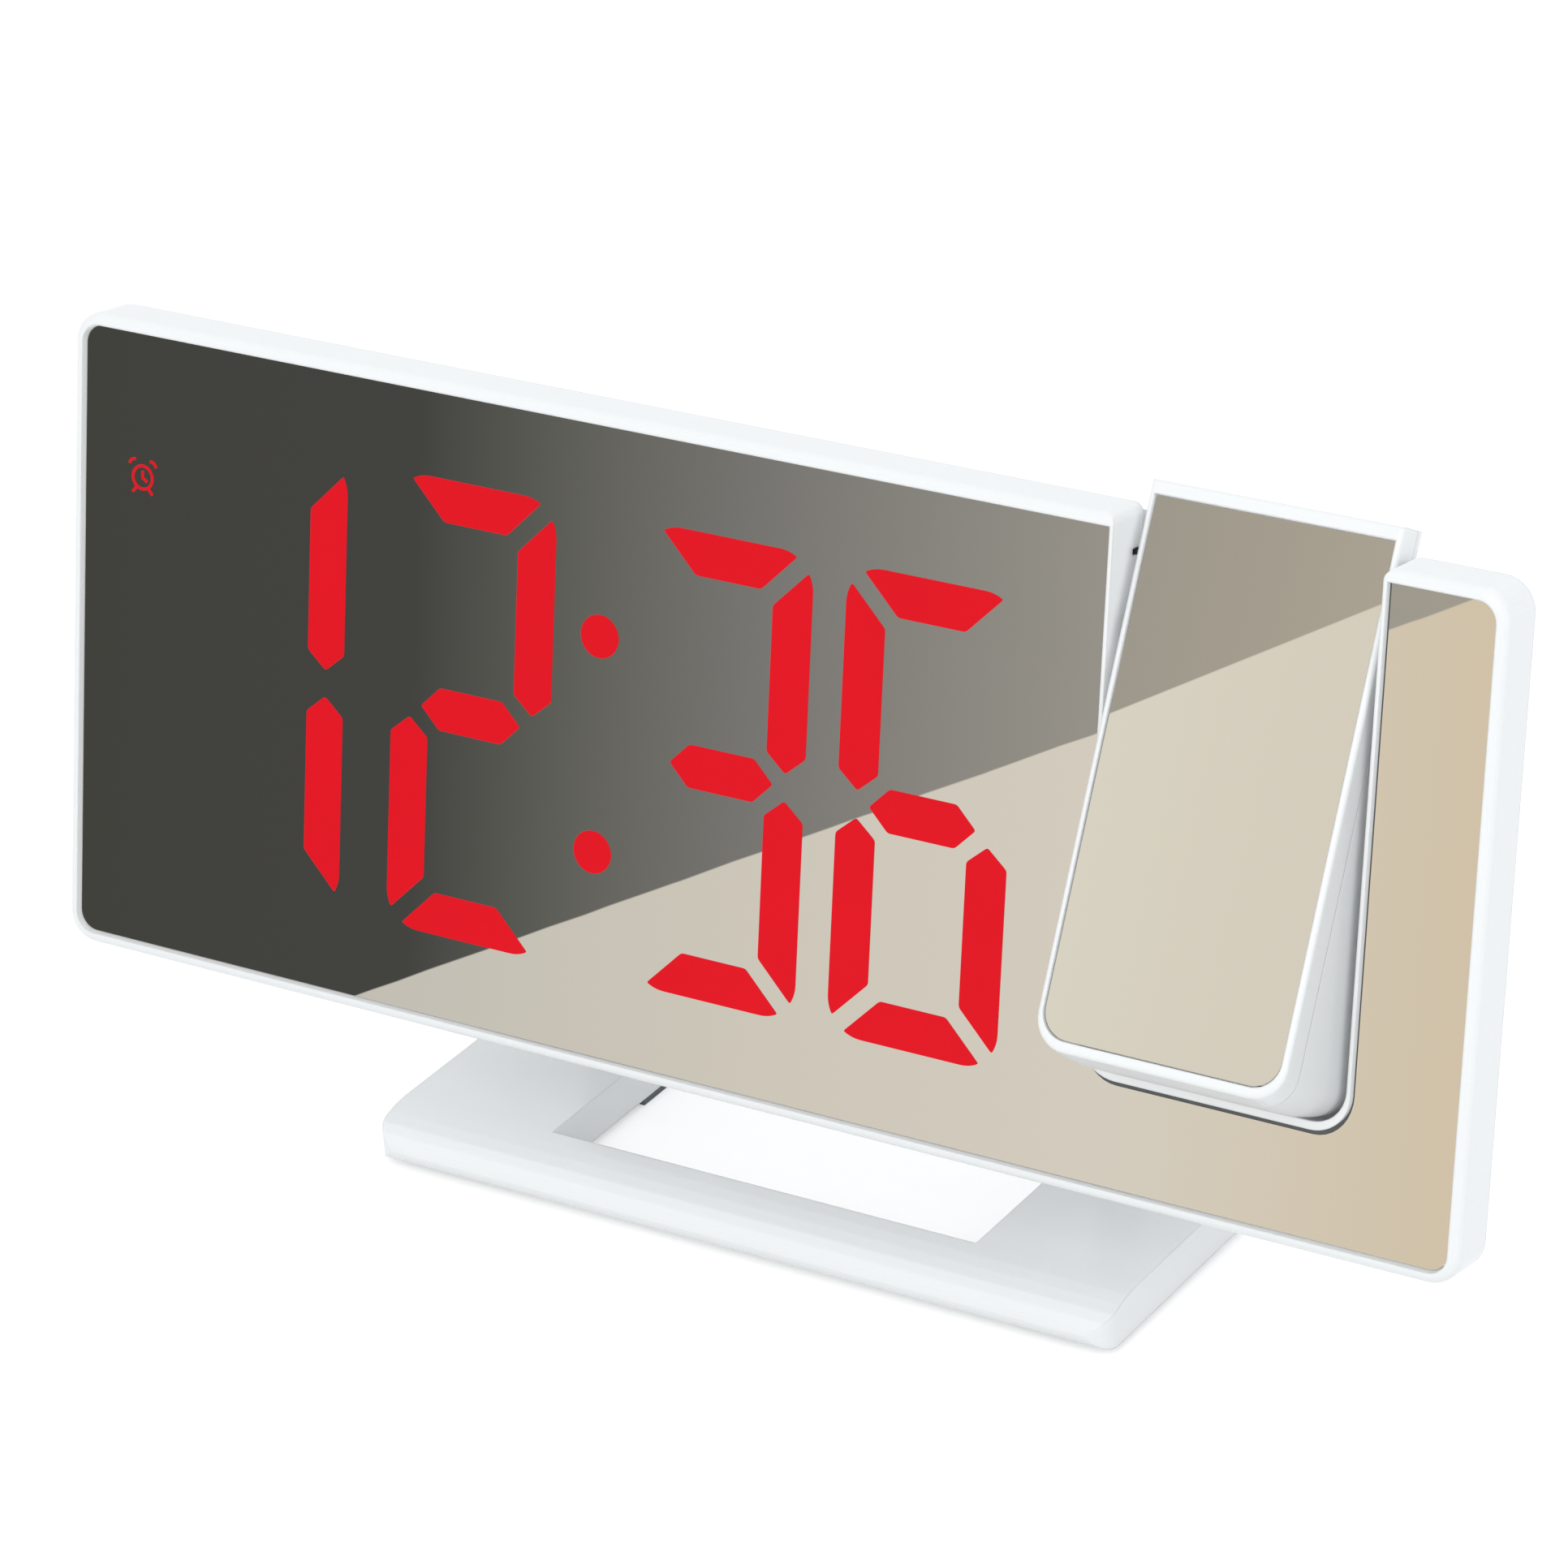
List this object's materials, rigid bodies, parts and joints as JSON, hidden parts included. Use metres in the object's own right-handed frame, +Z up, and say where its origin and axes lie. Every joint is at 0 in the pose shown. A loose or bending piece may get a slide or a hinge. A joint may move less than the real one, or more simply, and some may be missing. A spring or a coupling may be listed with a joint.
{
  "type": "projection alarm clock",
  "caption": "Mirrored rectangular digital alarm clock on a tilting ring stand, with a projector arm that swings out of a pocket in its face.",
  "frame": {"origin": "centre of the bounding box's bottom face, on the surface the clock stands on, midway across the clock and midway between its front and back", "axes": "+X along the clock's width to the right as the user sees it; +Y away from the user, towards the back; +Z up"},
  "size_m": [0.19, 0.08, 0.1012],
  "materials": {
    "white_case": "satin",
    "white_button": "satin",
    "smoked_mirror": "polished",
    "reflector_white": "matte",
    "red_diffuser": "satin",
    "led_package": "satin",
    "circuit_board": "satin",
    "steel": "satin",
    "cell_can": "gloss",
    "black_plastic": "matte",
    "washer_nylon": "satin",
    "clear_lens": "polished",
    "slide_panel": "gloss",
    "rubber_feet": "matte"
  },
  "bodies": {
    "stand": {"stand_ring": "white_case", "stand_feet": "rubber_feet"},
    "case": {"front_bezel": "white_case", "mirror_panel": "smoked_mirror", "segment_reflector": "reflector_white", "segment_diffusers": "red_diffuser", "segment_leds": "led_package", "display_board": "circuit_board", "rear_cover": "white_case", "case_screws": "steel", "battery_cells": "cell_can", "battery_contacts": "steel", "usb_inlet": "steel", "buzzer": "black_plastic", "tact_switches": "black_plastic", "arm_hinge_pins": "steel", "arm_hinge_washers": "washer_nylon", "stand_hinge_pins": "steel", "stand_hinge_washers": "washer_nylon"},
    "arm": {"arm_front_shell": "white_case", "arm_mirror": "smoked_mirror", "arm_rear_shell": "white_case", "arm_screws": "steel", "light_box": "black_plastic", "projector_led_board": "circuit_board", "condenser_lens": "clear_lens", "time_slide": "slide_panel"},
    "focus_ring": {"focus_ring": "black_plastic"},
    "lens_carrier": {"lens_carrier": "black_plastic", "projection_lens": "clear_lens"},
    "battery_door": {"battery_door": "white_case"},
    "button_set": {"button_set": "white_button"},
    "button_up": {"button_up": "white_button"},
    "button_down": {"button_down": "white_button"},
    "button_alarm": {"button_alarm": "white_button"},
    "button_light": {"button_light": "white_button"},
    "button_projector": {"button_projector": "white_button"}
  },
  "joints": [
    {"name": "stand_tilt", "type": "hinge", "parent": "stand", "child": "case", "pos_m": [0, 0.00021, 0.02897], "axis": [-1, 0, 0], "range_deg": [-10.2, 15]},
    {"name": "arm_hinge", "type": "hinge", "parent": "case", "child": "arm", "pos_m": [0.06365, -0.00622, 0.08134], "axis": [-1, 0, 0], "range_deg": [-19.1, 70.9]},
    {"name": "focus_turn", "type": "hinge", "parent": "arm", "child": "focus_ring", "pos_m": [0.06365, -0.00186, 0.09053], "axis": [0, 0.4894, 0.8721], "range_deg": [-90, 90]},
    {"name": "focus_slide", "type": "slide", "parent": "arm", "child": "lens_carrier", "axis": [0, 0.4894, 0.8721], "range_m": [-0.0012, 0.0012]},
    {"name": "battery_door_lift", "type": "slide", "parent": "case", "child": "battery_door", "axis": [0, 0.9842, -0.1771], "range_m": [0, 0.012]},
    {"name": "press_set", "type": "slide", "parent": "case", "child": "button_set", "axis": [0, -0.9842, 0.1771], "range_m": [0, 0.0005], "stiffness_N_per_m": 800},
    {"name": "press_up", "type": "slide", "parent": "case", "child": "button_up", "axis": [0, -0.9842, 0.1771], "range_m": [0, 0.0005], "stiffness_N_per_m": 800},
    {"name": "press_down", "type": "slide", "parent": "case", "child": "button_down", "axis": [0, -0.9842, 0.1771], "range_m": [0, 0.0005], "stiffness_N_per_m": 800},
    {"name": "press_alarm", "type": "slide", "parent": "case", "child": "button_alarm", "axis": [0, -0.9842, 0.1771], "range_m": [0, 0.0005], "stiffness_N_per_m": 800},
    {"name": "press_light", "type": "slide", "parent": "case", "child": "button_light", "axis": [0, -0.9842, 0.1771], "range_m": [0, 0.0005], "stiffness_N_per_m": 800},
    {"name": "press_projector", "type": "slide", "parent": "case", "child": "button_projector", "axis": [0, -0.9842, 0.1771], "range_m": [0, 0.0005], "stiffness_N_per_m": 800}
  ],
  "couplings": [
    {"joint": "focus_turn", "follows": "focus_slide", "rad_per_m": 1309}
  ]
}
